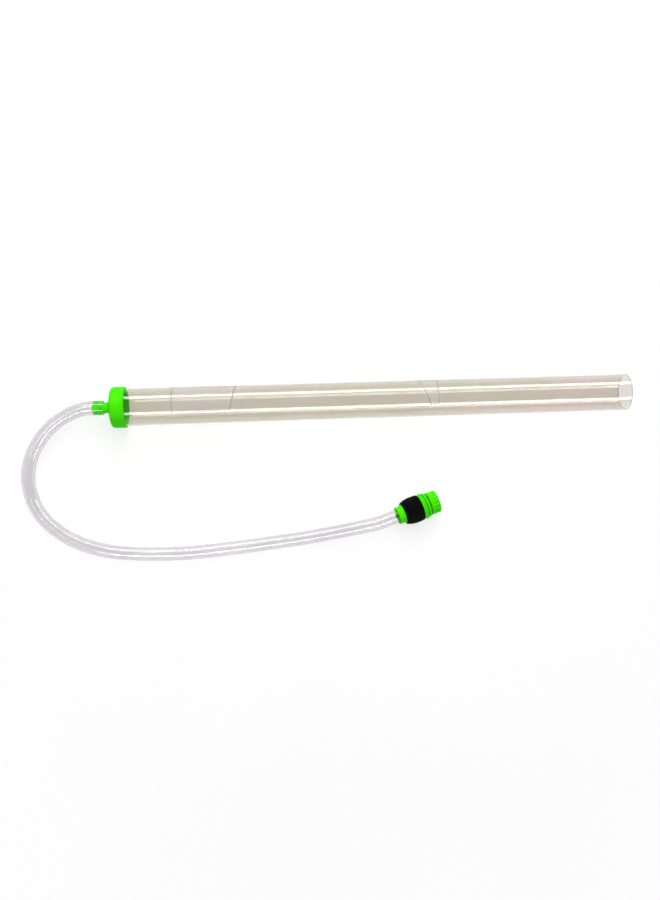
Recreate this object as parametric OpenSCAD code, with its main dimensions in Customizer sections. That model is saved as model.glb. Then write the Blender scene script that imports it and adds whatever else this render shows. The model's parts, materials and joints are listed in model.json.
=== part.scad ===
// Gravel vacuum siphon for ponds and aquariums, in millimetres.
// A clear suction tube is pushed into a green cap. A clear hose sits on the cap's barbed tail and
// lies on the floor in one wide bend, and ends in a quick connector with a rubber-gripped hose nut.
// Frame: +X runs along the suction tube to its open mouth, +Z is up and the floor is Z = 0.

/* [Suction tube] */
// Outer diameter of the clear tube
tube_od = 50; // [46:1:52]
// Wall thickness of the clear tube
tube_wall = 1.5; // [1.5:0.25:2.5]
// Length of the clear tube
tube_len = 700; // [500:10:900]
// Depth that the tube is pushed into the cap
tube_insert = 16; // [12:1:17]

/* [Cap] */
// Wall thickness of the cap's skirt
cap_wall = 2.42; // [2:0.01:3.5]
// Length of the skirt, from the shoulder to the rim
skirt_len = 18; // [17:1:23]
// Depth of the cap's coned back, from the neck to the skirt
shoulder_len = 5; // [5:0.5:8]
// Diameter of the neck between the cap and the hose
neck_d = 14.5; // [14:0.5:18]
// Length of the neck
neck_len = 7; // [5:0.5:10]
// Length of the barbed tail inside the hose
tail_len = 16; // [14:1:20]

/* [Hose] */
// Outer diameter of the clear hose
hose_od = 18; // [17:0.25:18]
// Inner diameter of the clear hose
hose_id = 13; // [12.5:0.25:13.5]

/* [Connector] */
// Heading of the connector on the floor, counted from +X towards +Y
connector_heading = 18.5; // [10:1:30]
// Angle that the connector's nose dips below level
nose_dip = 4.5; // [0:0.5:6]
// Diameter of the hose nut's plain rear rim
nut_rim_d = 23.2; // [22.6:0.2:24]
// Largest diameter of the rubber grip
grip_d = 36; // [34:0.5:36.5]
// Diameter of the hose nut's front ring
nut_ring_d = 35.6; // [34:0.2:37]
// Diameter of the body's ring
body_ring_d = 33; // [31:0.5:34]
// Diameter of the release collar
collar_d = 30.4; // [30:0.2:32]
// Travel of the release collar
collar_travel = 2; // [1.6:0.1:2.1]
// Number of finger grooves round the release collar
collar_grooves = 16; // [12:1:20]
// Number of flutes round the rubber grip
grip_flutes = 24; // [16:1:30]

/* [Hidden] */

round_fn = 96;
green = [0.16, 0.85, 0.02];
dark_green = [0.10, 0.62, 0.02];
black = [0.03, 0.03, 0.035];
ivory = [0.88, 0.86, 0.80];
steel = [0.70, 0.71, 0.72];
clear_tube = [0.86, 0.80, 0.76, 0.35];
clear_hose = [0.80, 0.80, 0.80, 0.40];

// ---- cap and tube, along their common axis, counted from the tip of the barbed tail ----
slide_gap = 0.08;
tube_r = tube_od / 2;
socket_r = tube_r + slide_gap;
cap_r = socket_r + cap_wall;
axis_z = cap_r;
tail_x = -365;
tail_tip_r = 5.7;
tail_root_r = 6.1;
tail_crest_r = 7.1;
tail_barb_z = 0.8;
tail_pitch = 3.7;
barb_count = 4;
neck_z = tail_len;
shoulder_z = neck_z + neck_len;
rim_z = shoulder_z + shoulder_len + skirt_len;
seat_z = rim_z - tube_insert;
cap_bore_r = 4.75;
neck_fillet = 1.5;
edge_round = 5;
cone_rise = 3.4;
lip = 0.6;
seat_ledge = 0.5;
seat_r = tube_r - tube_wall - seat_ledge;
back_wall = 2.8;
seat_depth = 1;
bell_z = shoulder_z + back_wall;
bell_edge_z = seat_z - seat_depth;

// ---- connector, along its own axis, counted from the nut's rear face ----
nut_mouth_r = 10;
nut_cone_z = 7;
nut_cone_end_z = 14;
nut_cone_r = 12.6;
chamfer = 0.5;
thread_r = 12.9;
thread_gap = 0.1;
grip_z = 8.5;
grip_end_z = 35;
core_foot_r = 12.6;
core_mid_r = 15.2;
core_mid_z = 18;
core_full_z = 22;
core_r = 16;
core_step = 0.4;
ring_z = 36.6;
ring_end_z = 38.9;
sleeve_z = 15.5;
hose_stop_z = 20;
hose_depth = 18;
spigot_z = 3;
spigot_tip_r = 5.6;
spigot_root_r = 6;
spigot_crest_r = 6.8;
spigot_barb_z = 3.6;
spigot_pitch = 3.8;
sleeve_bore_r = 9.4;
flow_r = 4.5;
seal_z = 36.4;
seal_r = 6.6;
socket_z = 46.4;
nipple_r = 8.1;
barrel_r = 10.6;
barrel_end_z = 57.4;
body_ring_z = 40.6;
body_ring_end_z = 43.9;
spring_seat_z = 42;
spring_pocket_r = 13.5;
collar_z = body_ring_end_z + collar_travel;
collar_end_z = 58.4;
collar_step_z = 47.3;
collar_wall_z = 53.2;
claw_z = 48;
claw_end_z = 50.7;
claw_tip_r = 7.4;
claw_outer_r = 11.3;
ramp_slope = 0.44;
ramp_gap = 0.2;
claw_half_angle = 14;
window_half_angle = 15.5;
claw_side_gap = 0.3;
window_foot_r = 6.9;
groove_r = 0.9;
groove_rise = 0.35;

// The connector lies on the front edge of the nut's ring, which sets the height of its axis.
connector_x = 37.5;
connector_y = -159;
connector_z = nut_ring_d / 2 * cos(nose_dip) + ring_end_z * sin(nose_dip);
connector_foot = [connector_x, connector_y, connector_z];
connector_dir = [cos(nose_dip) * cos(connector_heading), cos(nose_dip) * sin(connector_heading),
                 -sin(nose_dip)];

// Centre line of the hose: along the cap's tail, down to the floor round the bend, and up again
// to the connector, which holds its last stretch straight.
hose_route = [
    [-349, 0, axis_z], [-365, 0, axis_z], [-379, -1.5, 27], [-397, -8.5, 26],
    [-417, -21, 23], [-434, -39, 19], [-446, -61, 15], [-451, -85, 11.5],
    [-448, -109, 9.5], [-439, -131, 9], [-424, -150, 9], [-404, -166, 9],
    [-382, -178, 9], [-358, -186.5, 9], [-334, -191.5, 9], [-310, -194, 9],
    [-285, -195.5, 9], [-260, -196, 9], [-235, -195.5, 9], [-210, -194, 9],
    [-186, -192, 9], [-161, -190, 9], [-136, -187.5, 9.5], [-111, -185, 11],
    [-86, -182.5, 14], [-62, -179.5, 17.5], [-37, -176, 20.5], [-12, -172, 22.5],
    [12, -167.5, 22.5], connector_foot, connector_foot + hose_depth * connector_dir
];
hose_sides = 12;

// Puts a shape that is drawn along Z on the axis of the tube, with its foot at x.
module along_tube(x) {
    translate([x, 0, axis_z]) rotate([0, 90, 0]) children();
}

// Puts a shape that is drawn along Z on the axis of the connector.
module on_connector() {
    translate(connector_foot)
        rotate([0, 90 + nose_dip, connector_heading]) children();
}

module turned(outline) {
    rotate_extrude($fn = round_fn) polygon(outline);
}

// A wedge of a turned shape, centred on the angle "at".
module turned_wedge(outline, half_angle, at) {
    rotate([0, 0, at - half_angle])
        rotate_extrude(angle = 2 * half_angle, $fn = round_fn) polygon(outline);
}

function arc(centre, r, from, to, steps) =
    [for (i = [0:steps]) let (a = from + (to - from) * i / steps)
        centre + r * [cos(a), sin(a)]];

// Outline of a row of hose barbs that rise away from z and drop square.
function barbs(z, pitch, root_r, crest_r) =
    [for (i = [0:barb_count - 1]) each [
        [root_r, z + i * pitch],
        [crest_r, z + (i + 0.75) * pitch],
        [crest_r, z + (i + 0.9) * pitch],
        [root_r, z + (i + 0.9) * pitch]
    ]];

// ---- round sweep along a line of points ----
function unit(v) = v / norm(v);
function tangent(path, i) =
    unit(path[min(i + 1, len(path) - 1)] - path[max(i - 1, 0)]);
function sweep_ring(path, i, r, sides) =
    let (t = tangent(path, i), side = unit(cross(t, [0, 0, 1])), up = cross(side, t))
    [for (k = [0:sides - 1]) let (a = 360 * k / sides)
        path[i] + r * (cos(a) * side + sin(a) * up)];
function ring_points(path, r, sides) =
    [for (i = [0:len(path) - 1]) each sweep_ring(path, i, r, sides)];
function wall_faces(rings, sides, first, inward) =
    [for (i = [0:rings - 2], k = [0:sides - 1])
        let (a = first + i * sides + k, b = first + i * sides + (k + 1) % sides)
        inward ? [a, a + sides, b + sides, b] : [a, b, b + sides, a + sides]];

module swept_tube(path, r_out, r_in, sides) {
    rings = len(path);
    inner = rings * sides;
    last = (rings - 1) * sides;
    end_faces = [for (k = [0:sides - 1]) let (n = (k + 1) % sides) each [
        [k, inner + k, inner + n, n],
        [last + n, inner + last + n, inner + last + k, last + k]
    ]];
    polyhedron(
        points = concat(ring_points(path, r_out, sides), ring_points(path, r_in, sides)),
        faces = concat(wall_faces(rings, sides, 0, false), wall_faces(rings, sides, inner, true),
                       end_faces),
        convexity = 10);
}

module swept_rod(path, r, sides) {
    rings = len(path);
    polyhedron(
        points = ring_points(path, r, sides),
        faces = concat(wall_faces(rings, sides, 0, false),
                       [[for (k = [sides - 1:-1:0]) k],
                        [for (k = [0:sides - 1]) (rings - 1) * sides + k]]),
        convexity = 10);
}

// ---- sub-parts ----

// Clear acrylic suction tube, open at both ends.
module gravel_tube() {
    ease = 0.3;
    bore_r = tube_r - tube_wall;
    color(clear_tube) along_tube(tail_x + seat_z) turned([
        [bore_r + ease, 0], [tube_r - ease, 0], [tube_r, ease],
        [tube_r, tube_len - ease], [tube_r - ease, tube_len],
        [bore_r + ease, tube_len], [bore_r, tube_len - ease], [bore_r, ease]
    ]);
}

// Cap with a skirt round the tube, a coned back, a narrow neck and a barbed tail.
module tube_cap() {
    neck_r = neck_d / 2;
    cone_foot_r = neck_r + neck_fillet;
    edge_centre = [cap_r - edge_round, shoulder_z + cone_rise + edge_round];
    outline = concat(
        [[cap_bore_r, 0], [tail_tip_r, 0]],
        barbs(tail_barb_z, tail_pitch, tail_root_r, tail_crest_r),
        [[tail_root_r, neck_z], [neck_r, neck_z]],
        arc([cone_foot_r, shoulder_z - neck_fillet], neck_fillet, 180, 90, 6),
        arc(edge_centre, edge_round, -90, 0, 8),
        [[cap_r, rim_z - lip], [cap_r - lip, rim_z], [socket_r + lip, rim_z],
         [socket_r, rim_z - lip], [socket_r, seat_z], [seat_r, seat_z],
         [seat_r, bell_edge_z], [cap_bore_r, bell_z]]);
    color(green) along_tube(tail_x) turned(outline);
}

// Clear PVC hose, pushed over the cap's tail and over the connector's spigot.
module hose() {
    color(clear_hose) swept_tube(hose_route, hose_od / 2, hose_id / 2, hose_sides);
}

// Hose nut: plain rim behind, clamping cone and threaded bore inside, ring in front.
module hose_nut() {
    rim_r = nut_rim_d / 2;
    ring_r = nut_ring_d / 2;
    bore_r = thread_r + thread_gap;
    color(green) on_connector() turned([
        [nut_mouth_r, 0], [rim_r - chamfer, 0], [rim_r, chamfer], [rim_r, grip_z],
        [core_foot_r, grip_z], [core_mid_r, core_mid_z], [core_r, core_full_z],
        [core_r, grip_end_z], [core_r + core_step, grip_end_z], [core_r + core_step, ring_z],
        [ring_r - chamfer, ring_z], [ring_r, ring_z + chamfer],
        [ring_r, ring_end_z - chamfer], [ring_r - chamfer, ring_end_z],
        [bore_r, ring_end_z], [bore_r, sleeve_z], [nut_cone_r, nut_cone_end_z],
        [nut_mouth_r, nut_cone_z]
    ]);
}

// Fluted rubber grip, moulded round the nut's core.
module nut_grip() {
    grip_r = grip_d / 2;
    foot_r = 13.3;
    foot_round = 2.4;
    shoulder = [17.2, 16];
    full_z = 21;
    taper_z = 31;
    flute_r = 1.2;
    flute_rise = 0.6;
    flute_z = 14;
    flute_len = 18;
    color(black) on_connector() difference() {
        turned(concat(
            [[core_foot_r, grip_z], [foot_r, grip_z]],
            arc([foot_r, grip_z + foot_round], foot_round, -70, -20, 4),
            [shoulder, [grip_r, full_z], [grip_r, taper_z], [grip_r - chamfer, grip_end_z - chamfer],
             [grip_r - 2 * chamfer, grip_end_z], [core_r, grip_end_z], [core_r, core_full_z],
             [core_mid_r, core_mid_z]]));
        for (i = [0:grip_flutes - 1])
            rotate([0, 0, 360 * i / grip_flutes])
                translate([grip_r + flute_rise, 0, flute_z])
                    cylinder(h = flute_len, r = flute_r, $fn = 24);
    }
}

// Slotted collet ring that the nut's cone squeezes onto the hose.
module hose_gripper() {
    back_z = nut_cone_z + 0.3;
    front_z = nut_cone_end_z + 0.6;
    bore_r = hose_od / 2 + 0.1;
    back_r = nut_mouth_r - 0.05;
    outer_r = nut_cone_r - 0.15;
    slots = 6;
    slot_w = 1.2;
    slot_len = 5.3;
    color(ivory) on_connector() difference() {
        turned([[bore_r, back_z], [back_r, back_z], [outer_r, nut_cone_end_z],
                [outer_r, front_z], [bore_r, front_z]]);
        for (i = [0:slots - 1])
            rotate([0, 0, 360 * (i + 0.5) / slots])
                translate([0, -slot_w / 2, back_z - 1]) cube([outer_r + 1, slot_w, slot_len + 1]);
    }
}

// Connector body: barbed spigot, threaded sleeve, ring, and barrel with a socket for a nipple.
module connector_body() {
    ring_r = body_ring_d / 2;
    mouth_chamfer = 0.8;
    outline = concat(
        [[flow_r, spigot_z], [spigot_tip_r, spigot_z]],
        barbs(spigot_barb_z, spigot_pitch, spigot_root_r, spigot_crest_r),
        [[spigot_root_r, hose_stop_z], [sleeve_bore_r, hose_stop_z], [sleeve_bore_r, sleeve_z],
         [thread_r, sleeve_z], [thread_r, body_ring_z],
         [ring_r - chamfer, body_ring_z], [ring_r, body_ring_z + chamfer],
         [ring_r, body_ring_end_z - chamfer], [ring_r - chamfer, body_ring_end_z],
         [spring_pocket_r, body_ring_end_z], [spring_pocket_r, spring_seat_z],
         [barrel_r, spring_seat_z], [barrel_r, barrel_end_z],
         [nipple_r + mouth_chamfer, barrel_end_z], [nipple_r, barrel_end_z - mouth_chamfer],
         [nipple_r, socket_z], [seal_r, socket_z], [seal_r, seal_z], [flow_r, seal_z]]);
    window = [[window_foot_r, claw_z - claw_side_gap], [barrel_r + 1, claw_z - claw_side_gap],
              [barrel_r + 1, claw_end_z + claw_side_gap],
              [window_foot_r, claw_end_z + claw_side_gap]];
    color(dark_green) on_connector() difference() {
        turned(outline);
        for (i = [1:4]) turned_wedge(window, window_half_angle, claw_angle(i));
    }
}

// Grooved collar that is pulled back to let the claws open.
module release_collar() {
    collar_r = collar_d / 2;
    nose_chamfer = 0.8;
    mouth_r = barrel_r + 0.3;
    rim_w = 1.3;
    ramp_r = claw_outer_r + ramp_gap;
    color(green) on_connector() difference() {
        turned([[spring_pocket_r, collar_z], [collar_r - chamfer, collar_z],
                [collar_r, collar_z + chamfer], [collar_r, collar_end_z - nose_chamfer],
                [collar_r - nose_chamfer, collar_end_z], [mouth_r + chamfer, collar_end_z],
                [mouth_r, collar_end_z - chamfer], [mouth_r, collar_wall_z],
                [ramp_r + ramp_slope * (collar_wall_z - claw_z), collar_wall_z],
                [ramp_r + ramp_slope * (collar_step_z - claw_z), collar_step_z],
                [spring_pocket_r, collar_step_z]]);
        for (i = [0:collar_grooves - 1])
            rotate([0, 0, 360 * i / collar_grooves])
                translate([collar_r + groove_rise, 0, collar_z + rim_w])
                    cylinder(h = collar_end_z - collar_z, r = groove_r, $fn = 24);
    }
}

// Wire spring between the body's ring and the collar.
module collar_spring() {
    wire_r = 0.4;
    coil_r = 12.1;
    turns = 3;
    steps = 16;
    start_z = spring_seat_z + wire_r;
    rise = collar_step_z - wire_r - start_z;
    path = [for (i = [0:turns * steps]) let (a = 360 * i / steps)
        [coil_r * cos(a), coil_r * sin(a), start_z + rise * i / (turns * steps)]];
    color(steel) on_connector() swept_rod(path, wire_r, 8);
}

function claw_angle(i) = 45 + 90 * (i - 1);

// One of the four claws that hook behind the nipple's shoulder.
module latch_claw(i) {
    outer_end_r = claw_outer_r + ramp_slope * (claw_end_z - claw_z);
    bevel = 0.9;
    outline = [[nipple_r, claw_z], [claw_outer_r, claw_z], [outer_end_r, claw_end_z],
               [nipple_r, claw_end_z], [claw_tip_r, claw_end_z - bevel],
               [claw_tip_r, claw_z + bevel]];
    color(ivory) on_connector() turned_wedge(outline, claw_half_angle, claw_angle(i));
}

gravel_tube();
tube_cap();
hose();
hose_nut();
nut_grip();
hose_gripper();
connector_body();
release_collar();
collar_spring();
latch_claw(1);  // latch_claw_1
latch_claw(2);  // latch_claw_2
latch_claw(3);  // latch_claw_3
latch_claw(4);  // latch_claw_4
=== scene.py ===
# Gravel vacuum siphon: clear suction tube in a green cap, clear hose, quick connector.
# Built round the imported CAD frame, in metres. Outlines are (radius, height) pairs in millimetres,
# turned round the suction tube's axis or round the connector's axis.
import json
import math

import bmesh
import bpy
import numpy as np
from mathutils import Matrix, Vector


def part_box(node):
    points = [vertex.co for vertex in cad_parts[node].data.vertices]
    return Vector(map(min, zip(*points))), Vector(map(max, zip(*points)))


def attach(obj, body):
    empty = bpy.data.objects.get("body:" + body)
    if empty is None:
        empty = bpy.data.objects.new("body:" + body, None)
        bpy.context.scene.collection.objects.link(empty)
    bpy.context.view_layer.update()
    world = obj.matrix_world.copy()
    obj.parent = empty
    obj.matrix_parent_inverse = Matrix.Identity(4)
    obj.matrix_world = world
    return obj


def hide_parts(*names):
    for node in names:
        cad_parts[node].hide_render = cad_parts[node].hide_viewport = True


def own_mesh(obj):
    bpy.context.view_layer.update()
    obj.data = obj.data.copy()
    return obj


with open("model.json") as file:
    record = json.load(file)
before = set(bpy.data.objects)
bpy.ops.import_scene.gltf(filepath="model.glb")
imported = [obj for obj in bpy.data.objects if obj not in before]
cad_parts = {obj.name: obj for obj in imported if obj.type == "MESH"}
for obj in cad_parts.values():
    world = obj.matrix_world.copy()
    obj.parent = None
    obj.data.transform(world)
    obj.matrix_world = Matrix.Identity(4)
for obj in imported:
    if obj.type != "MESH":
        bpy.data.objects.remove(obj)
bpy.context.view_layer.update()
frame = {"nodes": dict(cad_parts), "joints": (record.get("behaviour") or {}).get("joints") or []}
MM = 0.001
TAU = 2 * math.pi


# ---------------------------------------------------------------- where things are
def vec(*v):
    return Vector(v)


def joint(name):
    return next(j for j in frame["joints"] if j["name"] == name)


def axis_frame(origin, along):
    """A frame at origin whose Z runs along the given direction and whose Y is level, as the CAD's."""
    z = along.normalized()
    y = vec(0, 0, 1).cross(z).normalized()
    x = y.cross(z)
    m = Matrix((x, y, z)).transposed().to_4x4()
    m.translation = origin
    return m


cap_low, cap_high = (Vector(c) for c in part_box("tube_cap"))
tube_low, tube_high = (Vector(c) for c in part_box("gravel_tube"))
AXIS_Z = (cap_low.z + cap_high.z) / 2
TUBE = axis_frame(vec(cap_low.x, 0, AXIS_Z), vec(1, 0, 0))
NUT_JOINT = joint("nut_turn")
CONNECTOR = axis_frame(Vector(NUT_JOINT["pos_m"]), -Vector(NUT_JOINT["axis"]))
CONNECTOR_DIR = CONNECTOR.col[2].to_3d()
CONNECTOR_FOOT = CONNECTOR.translation

# The hose's route, as in the CAD source, in millimetres. make_hose adds its end inside the connector.
HOSE_ROUTE = [
    (-349, 0, 27.5), (-365, 0, 27.5), (-379, -1.5, 27), (-397, -8.5, 26), (-417, -21, 23),
    (-434, -39, 19), (-446, -61, 15), (-451, -85, 11.5), (-448, -109, 9.5), (-439, -131, 9),
    (-424, -150, 9), (-404, -166, 9), (-382, -178, 9), (-358, -186.5, 9), (-334, -191.5, 9),
    (-310, -194, 9), (-285, -195.5, 9), (-260, -196, 9), (-235, -195.5, 9), (-210, -194, 9),
    (-186, -192, 9), (-161, -190, 9), (-136, -187.5, 9.5), (-111, -185, 11), (-86, -182.5, 14),
    (-62, -179.5, 17.5), (-37, -176, 20.5), (-12, -172, 22.5), (12, -167.5, 22.5),
]
HOSE_DEPTH = 18  # how far the hose reaches into the connector
HOSE_OUTER, HOSE_INNER = 9.0, 6.5
TUBE_OUTER, TUBE_INNER = 25, 23.5
THREAD_OUTER, THREAD_PITCH, THREAD_DEPTH = 12.9, 3, 0.8
GRIP_LOW, GRIP_HIGH = 8.5, 33.8
CLAW_ANGLES = (45, 135, 225, 315)


# ---------------------------------------------------------------- camera
def make_camera():
    """The photograph's viewing angle: high over the object, turned and rolled to its framing."""
    azimuth, elevation, roll = (math.radians(a) for a in (-23.04, 80.0, 20.76))
    back = vec(math.sin(azimuth) * math.cos(elevation), -math.cos(azimuth) * math.cos(elevation),
               math.sin(elevation))
    right = vec(math.cos(azimuth), math.sin(azimuth), 0)
    up = back.cross(right)
    x = right * math.cos(roll) + up * math.sin(roll)
    y = up * math.cos(roll) - right * math.sin(roll)
    data = bpy.data.cameras.new("camera")
    data.sensor_fit = "VERTICAL"
    data.sensor_height = 36
    data.lens = 34.4
    data.clip_start, data.clip_end = 0.01, 100
    camera = bpy.data.objects.new("camera", data)
    bpy.context.scene.collection.objects.link(camera)
    m = Matrix((x, y, back)).transposed().to_4x4()
    m.translation = vec(-0.12797, -0.2520, 1.16572)
    camera.matrix_world = m
    bpy.context.scene.camera = camera


# ---------------------------------------------------------------- node materials
class Shader:
    """A Principled material and short calls for the nodes round it."""

    def __init__(self, name, **sockets):
        self.material = bpy.data.materials.new(name)
        self.material.use_nodes = True
        self.nodes, self.links = self.material.node_tree.nodes, self.material.node_tree.links
        self.bsdf = self.nodes["Principled BSDF"]
        self.out = self.nodes["Material Output"]
        for key, value in sockets.items():
            self.bsdf.inputs[key.replace("_", " ")].default_value = value
        self.where = self.nodes.new("ShaderNodeTexCoord").outputs["Object"]

    def stretched(self, scale):
        """Object coordinates with a scale of their own along each axis."""
        node = self.nodes.new("ShaderNodeMapping")
        node.inputs["Scale"].default_value = scale
        self.links.new(self.where, node.inputs["Vector"])
        return node.outputs["Vector"]

    def noise(self, scale, detail=3, rough=0.5, where=None):
        node = self.nodes.new("ShaderNodeTexNoise")
        node.inputs["Scale"].default_value = scale
        node.inputs["Detail"].default_value = detail
        node.inputs["Roughness"].default_value = rough
        self.links.new(where or self.where, node.inputs["Vector"])
        return node.outputs["Fac"]

    def ramp(self, factor, stops):
        """Stops are (place, colour), where a colour of one number is a grey."""
        node = self.nodes.new("ShaderNodeValToRGB")
        elements = node.color_ramp.elements
        while len(elements) < len(stops):
            elements.new(0.5)
        for element, (place, colour) in zip(elements, stops):
            element.position = place
            element.color = (*colour, 1) if len(colour) == 3 else (colour[0],) * 3 + (1,)
        self.links.new(factor, node.inputs["Fac"])
        return node.outputs["Color"]

    def colour(self, socket):
        self.links.new(socket, self.bsdf.inputs["Base Color"])

    def roughness(self, socket):
        self.links.new(socket, self.bsdf.inputs["Roughness"])

    def bump(self, height, distance, strength=1.0, after=None):
        """Bump on the surface, over the bump called after where one is given."""
        node = self.nodes.new("ShaderNodeBump")
        node.inputs["Distance"].default_value = distance
        node.inputs["Strength"].default_value = strength
        self.links.new(height, node.inputs["Height"])
        if after is not None:
            self.links.new(after, node.inputs["Normal"])
        self.links.new(node.outputs["Normal"], self.bsdf.inputs["Normal"])
        return node.outputs["Normal"]

    def absorb(self, colour, density):
        node = self.nodes.new("ShaderNodeVolumeAbsorption")
        node.inputs["Color"].default_value = (*colour, 1)
        node.inputs["Density"].default_value = density
        self.links.new(node.outputs["Volume"], self.out.inputs["Volume"])

    def let_lamps_through(self, tint):
        """Lamp light goes straight through clear plastic, so that what lies behind it is lit."""
        path = self.nodes.new("ShaderNodeLightPath")
        clear = self.nodes.new("ShaderNodeBsdfTransparent")
        clear.inputs["Color"].default_value = (*tint, 1)
        both = self.nodes.new("ShaderNodeMixShader")
        self.links.new(path.outputs["Is Shadow Ray"], both.inputs[0])
        self.links.new(self.bsdf.outputs["BSDF"], both.inputs[1])
        self.links.new(clear.outputs["BSDF"], both.inputs[2])
        self.links.new(both.outputs["Shader"], self.out.inputs["Surface"])


def green_plastic(name, light, dark):
    s = Shader(name, Roughness=0.38, IOR=1.47)
    s.bsdf.inputs["Specular IOR Level"].default_value = 0.03
    s.colour(s.ramp(s.noise(38, 4, 0.6), [(0.3, dark), (0.7, light)]))
    s.roughness(s.ramp(s.noise(260, 3), [(0.25, (0.32,)), (0.75, (0.46,))]))
    s.bump(s.noise(2600, 2), 0.00004, 0.35, after=s.bump(s.noise(90, 2), 0.00012, 0.25))
    return s.material


def black_rubber():
    s = Shader("black_rubber", Roughness=0.6, IOR=1.5)
    s.bsdf.inputs["Specular IOR Level"].default_value = 0.045
    s.colour(s.ramp(s.noise(120, 4), [(0.3, (0.0012, 0.0012, 0.0016)), (0.75, (0.004, 0.004, 0.0045))]))
    s.roughness(s.ramp(s.noise(420, 3), [(0.2, (0.5,)), (0.8, (0.72,))]))
    s.bump(s.noise(3400, 3), 0.00006, 0.5)
    return s.material


def ivory_plastic():
    s = Shader("ivory_plastic", Roughness=0.45, IOR=1.48)
    s.colour(s.ramp(s.noise(150, 3), [(0.3, (0.70, 0.66, 0.56)), (0.7, (0.80, 0.77, 0.68))]))
    s.roughness(s.ramp(s.noise(600, 2), [(0.2, (0.38,)), (0.8, (0.52,))]))
    s.bump(s.noise(3000, 2), 0.00003, 0.4)
    return s.material


def spring_steel():
    s = Shader("spring_steel", Metallic=1.0, Roughness=0.45)
    s.colour(s.ramp(s.noise(500, 3), [(0.2, (0.50, 0.50, 0.51)), (0.8, (0.66, 0.66, 0.67))]))
    s.roughness(s.ramp(s.noise(1500, 2), [(0.2, (0.38,)), (0.8, (0.52,))]))
    s.bump(s.noise(4000, 2), 0.00002, 0.3)
    return s.material


def clear_tube():
    s = Shader("clear_tube", Roughness=0.02, IOR=1.49)
    s.bsdf.inputs["Transmission Weight"].default_value = 1.0
    tone = s.noise(5.5, 2, 0.5, s.stretched((1.0, 2.5, 2.5)))
    s.colour(s.ramp(tone, [(0.3, (0.730, 0.730, 0.655)), (0.5, (0.765, 0.735, 0.680)),
                           (0.7, (0.800, 0.735, 0.715))]))
    hair = s.noise(900, 3, 0.6, s.stretched((0.03, 1.0, 1.0)))
    s.roughness(s.ramp(hair, [(0.35, (0.01,)), (0.7, (0.04,))]))
    s.bump(s.noise(30, 1, 0.5, s.stretched((0.08, 1.0, 1.0))), 0.00010, 0.04)
    s.let_lamps_through((0.95, 0.93, 0.91))
    return s.material


def cut_edge():
    """The sawn end of the tube."""
    s = Shader("clear_tube_cut_edge", Roughness=0.5, IOR=1.49)
    s.bsdf.inputs["Specular IOR Level"].default_value = 0.2
    s.colour(s.ramp(s.noise(400, 3), [(0.3, (0.20, 0.18, 0.14)), (0.7, (0.30, 0.27, 0.22))]))
    s.roughness(s.ramp(s.noise(900, 2), [(0.3, (0.4,)), (0.7, (0.6,))]))
    s.bump(s.noise(2500, 2), 0.00003, 0.3)
    return s.material


def clear_hose():
    s = Shader("clear_hose", Roughness=0.05, IOR=1.50)
    s.bsdf.inputs["Transmission Weight"].default_value = 1.0
    s.colour(s.ramp(s.noise(14, 2), [(0.35, (0.92, 0.91, 0.92)), (0.65, (0.97, 0.95, 0.965))]))
    s.roughness(s.ramp(s.noise(40, 2), [(0.3, (0.04,)), (0.8, (0.07,))]))
    s.bump(s.noise(9, 1), 0.00010, 0.02)
    s.absorb((0.50, 0.49, 0.51), 80)
    s.let_lamps_through((0.90, 0.90, 0.90))
    return s.material


def clear_film(name, tint, alpha):
    s = Shader(name, Roughness=0.03, IOR=1.49, Alpha=alpha)
    s.colour(s.ramp(s.noise(30, 3), [(0.3, tuple(0.94 * c for c in tint)), (0.7, tint)]))
    s.roughness(s.ramp(s.noise(200, 3), [(0.3, (0.02,)), (0.7, (0.05,))]))
    s.bump(s.noise(60, 1), 0.00008, 0.05)
    return s.material


# ---------------------------------------------------------------- mesh helpers
def finish_mesh(name, bm, material, sharp=50):
    bmesh.ops.recalc_face_normals(bm, faces=bm.faces)
    mesh = bpy.data.meshes.new(name)
    bm.to_mesh(mesh)
    bm.free()
    mesh.shade_smooth()
    mesh.set_sharp_from_angle(angle=math.radians(sharp))
    mesh.materials.append(material)
    piece = bpy.data.objects.new(name, mesh)
    bpy.context.scene.collection.objects.link(piece)
    return piece


def rounded(points, radius, steps=4):
    """A closed outline with its corners rounded by up to radius."""
    out = []
    for i, point in enumerate(points):
        p = Vector(point)
        a, b = Vector(points[i - 1]) - p, Vector(points[(i + 1) % len(points)]) - p
        reach = min(radius, 0.45 * a.length, 0.45 * b.length)
        start, end = p + a.normalized() * reach, p + b.normalized() * reach
        for k in range(steps + 1):
            u = k / steps
            out.append(tuple((1 - u) ** 2 * start + 2 * u * (1 - u) * p + u * u * end))
    return out


def arc(centre, r, start, end, steps):
    return [(centre[0] + r * math.cos(math.radians(a)), centre[1] + r * math.sin(math.radians(a)))
            for a in (start + (end - start) * i / steps for i in range(steps + 1))]


def barbs(z, pitch, root_r, crest_r, count=4):
    out = []
    for i in range(count):
        out += [(root_r, z + i * pitch), (crest_r, z + (i + 0.75) * pitch),
                (crest_r, z + (i + 0.9) * pitch), (root_r, z + (i + 0.9) * pitch)]
    return out


def divided(points, step):
    """The closed outline with points added so that none are further apart than step."""
    out = []
    for i, point in enumerate(points):
        p, q = Vector(point), Vector(points[(i + 1) % len(points)])
        count = max(1, math.ceil((q - p).length / step))
        out += [tuple(p.lerp(q, k / count)) for k in range(count)]
    return out


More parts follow.
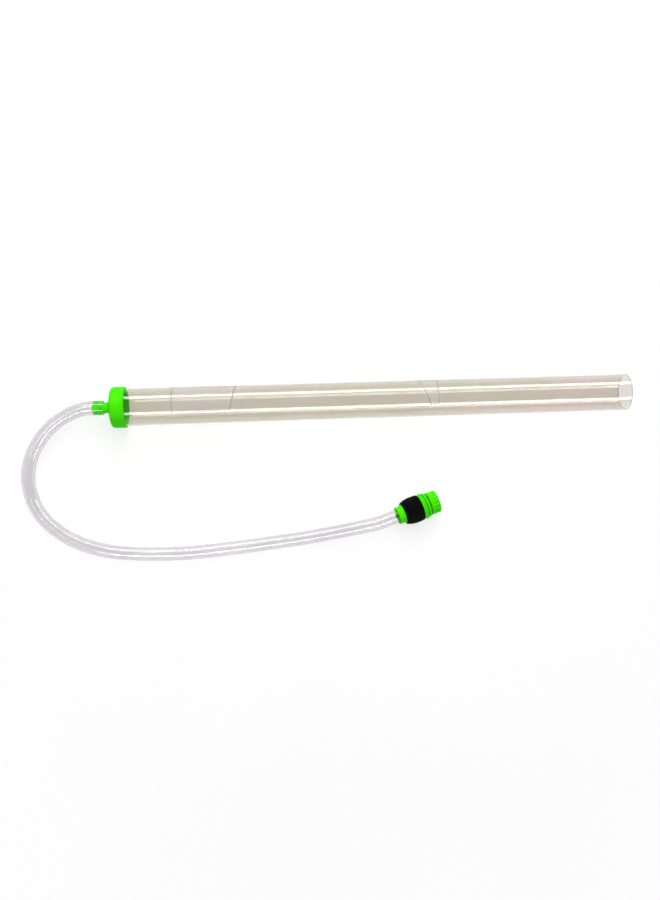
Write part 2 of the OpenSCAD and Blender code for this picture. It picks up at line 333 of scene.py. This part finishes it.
def revolve(name, outline, place, material, sides=128, shape=None):
    """The closed outline turned round the local Z of place. shape(r, z, angle) may change a radius."""
    bm = bmesh.new()
    rows = []
    for k in range(sides):
        a = TAU * k / sides
        row = []
        for r, z in outline:
            r = shape(r, z, a) if shape else r
            row.append(bm.verts.new(place @ vec(r * math.cos(a) * MM, r * math.sin(a) * MM, z * MM)))
        rows.append(row)
    for k in range(sides):
        here, there = rows[k], rows[(k + 1) % sides]
        for i in range(len(outline)):
            j = (i + 1) % len(outline)
            bm.faces.new((here[i], there[i], there[j], here[j]))
    return finish_mesh(name, bm, material)


def bridge(bm, rows):
    """Faces between neighbouring closed rows of points, and over the first row and the last."""
    for here, there in zip(rows, rows[1:]):
        for k in range(len(here)):
            n = (k + 1) % len(here)
            bm.faces.new((here[k], there[k], there[n], here[n]))
    bm.faces.new(rows[0])
    bm.faces.new(rows[-1])


def cut_out(piece, cutter):
    """Takes the cutter's shape out of the piece, and removes the cutter."""
    difference = piece.modifiers.new("cut", "BOOLEAN")
    difference.operation = "DIFFERENCE"
    difference.solver = "EXACT"
    difference.object = cutter
    bpy.context.view_layer.update()
    result = piece.evaluated_get(bpy.context.evaluated_depsgraph_get())
    old, piece.data = piece.data, bpy.data.meshes.new_from_object(result)
    piece.modifiers.clear()
    bpy.data.meshes.remove(old)
    bpy.data.objects.remove(cutter)


def smooth_line(points, spacing):
    """Points along a smooth curve through the given ones."""
    pts = [points[0] * 2 - points[1], *points, points[-1] * 2 - points[-2]]
    out = []
    for a, b, c, d in zip(pts, pts[1:], pts[2:], pts[3:]):
        count = max(1, round((c - b).length / spacing))
        for k in range(count):
            t = k / count
            out.append(0.5 * ((2 * b) + (c - a) * t + (2 * a - 5 * b + 4 * c - d) * t ** 2
                              + (3 * b - a - 3 * c + d) * t ** 3))
    return out + [points[-1]]


def line_length(points):
    return sum((b - a).length for a, b in zip(points, points[1:]))


def swept(name, line, outer, inner, material, sides=48):
    """A tube along line. outer and inner give the radius at a distance along it, in metres."""
    bm = bmesh.new()
    rings, s = [], 0.0
    for i, p in enumerate(line):
        if i:
            s += (p - line[i - 1]).length
        t = (line[min(i + 1, len(line) - 1)] - line[max(i - 1, 0)]).normalized()
        side = t.cross(vec(0, 0, 1)).normalized()
        up = side.cross(t)
        around = [side * math.cos(TAU * k / sides) + up * math.sin(TAU * k / sides) for k in range(sides)]
        rings.append([[bm.verts.new(p + v * r(s)) for v in around] for r in (outer, inner)])
    for (out_a, in_a), (out_b, in_b) in zip(rings, rings[1:]):
        for k in range(sides):
            n = (k + 1) % sides
            bm.faces.new((out_a[k], out_a[n], out_b[n], out_b[k]))
            bm.faces.new((in_a[k], in_b[k], in_b[n], in_a[n]))
    for out_ring, in_ring in (rings[0], rings[-1]):
        for k in range(sides):
            n = (k + 1) % sides
            bm.faces.new((out_ring[k], in_ring[k], in_ring[n], out_ring[n]))
    return finish_mesh(name, bm, material)


def smoothstep(x, low, high):
    t = min(1.0, max(0.0, (x - low) / (high - low)))
    return t * t * (3 - 2 * t)


# ---------------------------------------------------------------- pieces
def place_piece(piece, body, slot, *nodes):
    """The piece rides on the body and takes the place of the nodes. The slot argument is not used."""
    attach(piece, body)
    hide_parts(*nodes)
    return piece


def tone_faces(piece, material, place, test):
    """The faces whose middle is at a (radius, height) of place that passes the test take the material."""
    piece.data.materials.append(material)
    back = place.inverted()
    for face in piece.data.polygons:
        p = back @ face.center / MM
        if test(math.hypot(p.x, p.y), p.z):
            face.material_index = len(piece.data.materials) - 1


def make_tube(material, cut):
    """The clear tube, with a matt sawn end."""
    start = (tube_low.x - cap_low.x) / MM
    end = (tube_high.x - cap_low.x) / MM
    near, far = start + 1.5, end - 1.5
    outline = rounded([(TUBE_INNER, start), (TUBE_OUTER, start), (TUBE_OUTER, near), (TUBE_OUTER, far),
                       (TUBE_OUTER, end), (TUBE_INNER, end), (TUBE_INNER, far), (TUBE_INNER, near)], 0.4)
    piece = revolve("suction_tube_wall", outline, TUBE, material, sides=160)
    tone_faces(piece, cut, TUBE, lambda r, z: z > end - 0.5)
    return place_piece(piece, "suction_tube", "clear_tube", "gravel_tube")


def make_film(name, material, start, end, slant):
    """A thin clear film over the tube's top. Its ends lean by slant, in millimetres along the tube."""
    inner, outer = 25.03, 25.15
    first_angle, sweep, steps = -33, 121, 48
    bm = bmesh.new()
    rows = []
    for i in range(steps + 1):
        a = math.radians(first_angle + sweep * i / steps)
        low, high = start + slant[0] * math.sin(a), end + slant[1] * math.sin(a)
        outline = [(inner, low), (outer, low), (outer, high), (inner, high)]
        rows.append([bm.verts.new(TUBE @ (vec(-r * math.cos(a), r * math.sin(a), z) * MM))
                     for r, z in outline])
    bridge(bm, rows)
    piece = finish_mesh(name, bm, material)
    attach(piece, "suction_tube")


def make_films():
    """A blank wrap-round label: two layers where it overlaps at each end, and darker edges."""
    lilac = clear_film("label_film", (0.72, 0.68, 0.72), 0.12)
    edge = clear_film("label_film_edge", (0.34, 0.31, 0.29), 0.28)
    make_film("label_overlap_left", lilac, 109, 186, (0, 6))
    make_film("label_overlap_right", lilac, 448, 463, (-10, 0))
    make_film("label_edge_1", edge, 107.8, 109, (0, 0))
    make_film("label_edge_2", edge, 186, 187.6, (6, 6))
    make_film("label_edge_3", edge, 446.5, 448, (-10, -10))
    make_film("label_edge_4", edge, 463, 464, (0, 0))


def make_cap(material):
    """Tail with barbs, neck, domed back and skirt in one moulding. The tube stands in the skirt."""
    edge = arc((22.5, 31.4), 5, -90, 0, 12)
    neck = arc((8.75, 21.5), 1.5, 180, 90, 6)
    tail = rounded([(4.75, 2), (6, 2), (6.6, 3), *barbs(3.2, 3.1, 6.7, 7.2), (6.7, 16), (7.25, 16)],
                   0.25, 2)[3:-3]
    skirt = rounded([(27.5, 33), (27.5, 46), (25.08, 46), (25.08, 30), (23, 30), (23, 29),
                     (4.75, 25.8)], 0.5)[5:]
    outline = divided(tail + [(7.25, 16.2)] + neck + edge + skirt, 2)
    piece = revolve("cap_moulding", outline, TUBE, material, sides=160)
    return place_piece(piece, "siphon_head", "green_plastic", "tube_cap")


def make_hose(material):
    """The hose, its centre line and the line's length."""
    spacing = 0.002
    route = [Vector(p) * MM for p in HOSE_ROUTE]
    route += [CONNECTOR_FOOT.copy(), CONNECTOR_FOOT + CONNECTOR_DIR * (HOSE_DEPTH * MM)]
    line = smooth_line(route, spacing)
    length = line_length(line)

    def swell(s):
        """The hose is stretched over the cap's tail at its start and the spigot at its end."""
        at_tail = 0.55 * (1 - smoothstep(s / MM, 14, 21))
        at_spigot = 0.3 * smoothstep(s / MM, length / MM - 17, length / MM - 14)
        return at_tail + at_spigot

    piece = swept("hose_tube", line, lambda s: (HOSE_OUTER + swell(s)) * MM,
                  lambda s: HOSE_INNER * MM, material, sides=128)
    place_piece(piece, "siphon_head", "clear_hose", "hose")
    return piece, line, length


def make_nut(material):
    """The hose nut: rear rim, cone under the grip, and front ring."""
    outline = divided(rounded([
        (10, 0), (11.6, 0), (11.6, 8.5), (12.6, 8.5), (15.2, 18), (16, 22), (16, 34), (16.6, 34),
        (16.6, 36.2), (17, 36.6), (17.8, 37.6), (17.8, 38.9), (13, 38.9), (13, 15.5), (12.6, 14), (10, 7)],
        0.4), 0.8)
    piece = revolve("nut_shell", outline, CONNECTOR, material)
    return place_piece(piece, "nut", "green_plastic", "hose_nut")


def grip_radius(z):
    """Outer radius of the rubber grip, before its pads are cut."""
    known = [(GRIP_LOW, 13.3), (9.2, 14.6), (10.5, 15.4), (13, 16.3), (16, 17.2), (21, 18), (31, 17.9),
             (33.3, 17.4), (GRIP_HIGH, 16.8)]
    for (z0, r0), (z1, r1) in zip(known, known[1:]):
        if z <= z1:
            return r0 + (r1 - r0) * (z - z0) / (z1 - z0)
    return known[-1][1]


def make_grip(material):
    """The knurled rubber sleeve on the nut."""
    count, pitch, depth, steps = 24, 4.3, 1.1, 84
    heights = [GRIP_LOW + (GRIP_HIGH - GRIP_LOW) * i / steps for i in range(steps + 1)]
    outer = [(grip_radius(z), z) for z in heights]
    outline = outer + [(16, GRIP_HIGH), (16, 22), (15.2, 18), (12.7, 8.6)]

    def pads(r, z, angle):
        """Rows of small pads, each row half a pad on from the last."""
        if r < grip_radius(z) - 0.05 or not 10 < z < 33.3:
            return r
        row, up = divmod((z - 9.6) / pitch, 1)
        across = (count * angle / TAU + 0.5 * (row % 2)) % 1
        groove = max(smoothstep(abs(up - 0.5), 0.30, 0.48), smoothstep(abs(across - 0.5), 0.34, 0.48))
        return r - depth * groove * smoothstep(z, 10, 11.5) * (1 - smoothstep(z, 32, 33.3))

    piece = revolve("grip_sleeve", outline, CONNECTOR, material, sides=count * 12, shape=pads)
    return place_piece(piece, "nut", "black_rubber", "nut_grip")


def claw_windows(material):
    """The four openings in the barrel that the claws slide in."""
    bm = bmesh.new()
    outline = [(6.9, 47.7), (11.6, 47.7), (11.6, 51), (6.9, 51)]
    half_angle = 15.5
    for middle in CLAW_ANGLES:
        angles = [math.radians(middle + turn * half_angle) for turn in (-1, -0.5, 0, 0.5, 1)]
        rows = [[bm.verts.new(CONNECTOR @ (vec(r * math.cos(a), r * math.sin(a), z) * MM))
                 for r, z in outline] for a in angles]
        bridge(bm, rows)
    return finish_mesh("claw_windows", bm, material)


def make_body(material):
    """Barbed spigot, threaded sleeve, ring and socket barrel in one moulding."""
    start, length, steps = 15.8, 24.6, 98
    thread = [(THREAD_OUTER, start + length * i / steps) for i in range(steps + 1)]
    front = rounded([(THREAD_OUTER, 40.6), (16.5, 40.6), (16.5, 41.6), (16.4, 42.4), (16.0, 43.8),
                     (13.5, 43.8), (13.5, 42), (10.6, 42), (10.6, 57.4), (8.6, 57.4), (8.1, 56.6),
                     (8.1, 46.4), (6.6, 46.4), (6.6, 36.4), (4.5, 36.4)], 0.4)
    spigot = rounded([(4.5, 3), (5.6, 3), *barbs(3.6, 3.8, 6, 6.8), (6, 20), (9.4, 20), (9.4, 15.5),
                      (12.6, 15.5)], 0.2, 2)

    def cut_thread(r, z, angle):
        """A groove of THREAD_DEPTH that goes once round for each THREAD_PITCH along."""
        if abs(r - THREAD_OUTER) > 0.01 or not 15.9 < z < 40.3:
            return r
        turn = (z / THREAD_PITCH - angle / TAU) % 1
        return r - THREAD_DEPTH * (1 - smoothstep(abs(turn - 0.5), 0.10, 0.32))

    piece = revolve("body_core", spigot + thread + front, CONNECTOR, material, shape=cut_thread)
    cut_out(piece, claw_windows(material))
    return place_piece(piece, "siphon_head", "green_plastic", "connector_body")


def make_collar(material):
    """The release collar, with grooves along its outside and a cone inside that lets the claws open."""
    outline = rounded([(13.5, 45.9), (15.2, 45.9), (15.2, 58.4), (11.4, 58.4), (10.9, 57.9),
                       (10.9, 53.2), (13.79, 53.2), (11.19, 47.3), (13.5, 47.3)], 0.45)
    grooves, depth = 16, 1.2

    def cut_grooves(r, z, angle):
        if r < 14:
            return r
        gap = abs((grooves * angle / TAU) % 1 - 0.5) * 2
        return r - depth * (1 - smoothstep(gap, 0.15, 0.50)) * smoothstep(z, 48.0, 49.2)

    piece = revolve("collar_ring", divided(outline, 0.8), CONNECTOR, material, sides=grooves * 14,
                    shape=cut_grooves)
    return place_piece(piece, "collar", "green_plastic", "release_collar")


def make_spring(material):
    """The collar's spring, drawn at one length: nothing here shortens it as the collar goes back."""
    turns, coil, wire, low, high = 3, 12.1, 0.4, 42.4, 46.9
    steps = turns * 40
    line = []
    for i in range(steps + 1):
        t = i / steps
        z = low + (high - low) * smoothstep(t, 0.12, 0.88)
        a = TAU * turns * t
        line.append(CONNECTOR @ (vec(coil * math.cos(a), coil * math.sin(a), z) * MM))
    piece = swept("spring_coil", line, lambda s: wire * MM, lambda s: 0.1 * wire * MM, material, sides=10)
    place_piece(piece, "siphon_head", "spring_steel", "collar_spring")
    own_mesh(piece)
    return piece


# ---------------------------------------------------------------- floor and light
def floor_material():
    """Plain, pale and self-lit, the same for every ray. The attribute shade says how much of it the
    lights and shadows make up."""
    s = Shader("pale_floor", Roughness=0.9)
    s.bsdf.inputs["Specular IOR Level"].default_value = 0.0
    s.colour(s.ramp(s.noise(3, 2), [(0.3, (0.90, 0.90, 0.90)), (0.7, (0.92, 0.92, 0.92))]))
    glow = 1.04
    even = s.nodes.new("ShaderNodeEmission")
    even.inputs["Color"].default_value = (glow, glow, glow, 1)
    share = s.nodes.new("ShaderNodeAttribute")
    share.attribute_name = "shade"
    surface = s.nodes.new("ShaderNodeMixShader")
    s.links.new(share.outputs["Fac"], surface.inputs[0])
    s.links.new(even.outputs[0], surface.inputs[1])
    s.links.new(s.bsdf.outputs[0], surface.inputs[2])
    s.links.new(surface.outputs[0], s.out.inputs["Surface"])
    s.material.cycles.emission_sampling = "NONE"
    return s.material


def make_floor():
    """A flat floor 50 m across. Shadows and lamps show on it near the object only."""
    near, far, most = 0.5, 1.5, 0.3
    across = np.concatenate(([-25, -1.6, -1.2], np.arange(-0.9, 0.95, 0.1), [1.2, 1.6, 25]))
    bm = bmesh.new()
    rows = [[bm.verts.new((x, y, 0)) for y in across] for x in across]
    for a, b in zip(rows, rows[1:]):
        for i in range(len(across) - 1):
            bm.faces.new((a[i], b[i], b[i + 1], a[i + 1]))
    floor = finish_mesh("floor", bm, floor_material())
    x, y = (c.ravel() for c in np.meshgrid(across, across, indexing="ij"))
    shade = np.interp(np.hypot(x, y), [near, far], [most, 0.0])
    layer = floor.data.attributes.new("shade", "FLOAT", "POINT")
    layer.data.foreach_set("value", shade.astype(np.float32))


def area_light(name, place, target, size_x, size_y, radiance, shows=True):
    """A rectangular light of even radiance. One that shows is seen in gloss and through clear plastic
    and doesn't light matt surfaces. One that doesn't show lights matt surfaces only."""
    data = bpy.data.lights.new(name, "AREA")
    data.shape = "RECTANGLE"
    data.size, data.size_y = size_x, size_y
    data.energy = radiance * math.pi * size_x * size_y
    light = bpy.data.objects.new(name, data)
    bpy.context.scene.collection.objects.link(light)
    away = (Vector(place) - Vector(target)).normalized()
    x = vec(1, 0, 0)
    y = away.cross(x).normalized()
    m = Matrix((y.cross(away), y, away)).transposed().to_4x4()
    m.translation = place
    light.matrix_world = m
    light.visible_diffuse = not shows
    light.visible_glossy = light.visible_transmission = shows


def strip(name, side, elevation, radiance, width):
    """A long light above one side of the tube, which draws a white line along it."""
    reach, middle, length = 1.6, 0.4, 2.8
    a = math.radians(elevation)
    target = vec(middle, 0, AXIS_Z)
    place = target + reach * vec(0, side * math.cos(a), math.sin(a))
    area_light(name, place, target, length, width, radiance)


def make_world():
    """A plain grey studio, paler low down, and pale where the camera sees it."""
    world = bpy.data.worlds.new("studio")
    bpy.context.scene.world = world
    world.use_nodes = True
    nodes, links = world.node_tree.nodes, world.node_tree.links
    where = nodes.new("ShaderNodeTexCoord").outputs["Generated"]
    split = nodes.new("ShaderNodeSeparateXYZ")
    links.new(where, split.inputs[0])
    height = nodes.new("ShaderNodeMapRange")
    height.interpolation_type = "SMOOTHSTEP"
    low, high, bright, dim = 0.0, 0.5, 0.6, 0.25
    for slot, value in zip(height.inputs[1:5], (low, high, bright, dim)):
        slot.default_value = value
    links.new(split.outputs["Z"], height.inputs[0])
    pale = nodes.new("ShaderNodeMix")
    pale.data_type = "FLOAT"
    links.new(nodes.new("ShaderNodeLightPath").outputs["Is Camera Ray"], pale.inputs[0])
    links.new(height.outputs[0], pale.inputs[2])
    pale.inputs[3].default_value = 1.0
    links.new(pale.outputs[0], nodes["Background"].inputs["Strength"])
    nodes["Background"].inputs["Color"].default_value = (1, 1, 1, 1)


def make_lights():
    """A broad light overhead, a soft key from behind the tube, and a long strip on each side of it."""
    make_world()
    area_light("overhead", (-0.1, 0.7, 3.2), (0, 0, 0), 3.0, 3.0, 2.7, shows=False)
    area_light("key", (0.05, 1.50, 1.50), CONNECTOR_FOOT, 0.9, 0.9, 6.0, shows=False)
    strip("strip_far", 1, 42.4, 8.0, 0.52)
    strip("strip_near", -1, 36.6, 8.0, 0.48)
    bpy.context.scene.view_settings.view_transform = "Standard"


# ---------------------------------------------------------------- build
make_camera()

tube_clear = clear_tube()
hose_clear = clear_hose()
green = green_plastic("green_plastic", (0.080, 0.88, 0.001), (0.055, 0.76, 0.001))
rubber = black_rubber()
ivory = ivory_plastic()
steel = spring_steel()

hose, hose_line, hose_length = make_hose(hose_clear)
make_floor()
make_tube(tube_clear, cut_edge())
make_films()
make_cap(green)
nut = make_nut(green)
grip = make_grip(rubber)
body = make_body(green)
collar = make_collar(green)
spring = make_spring(steel)

make_lights()

for node in ["hose_gripper", "latch_claw_1", "latch_claw_2", "latch_claw_3", "latch_claw_4"]:
    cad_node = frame["nodes"][node]
    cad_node.data.materials.clear()
    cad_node.data.materials.append(ivory)
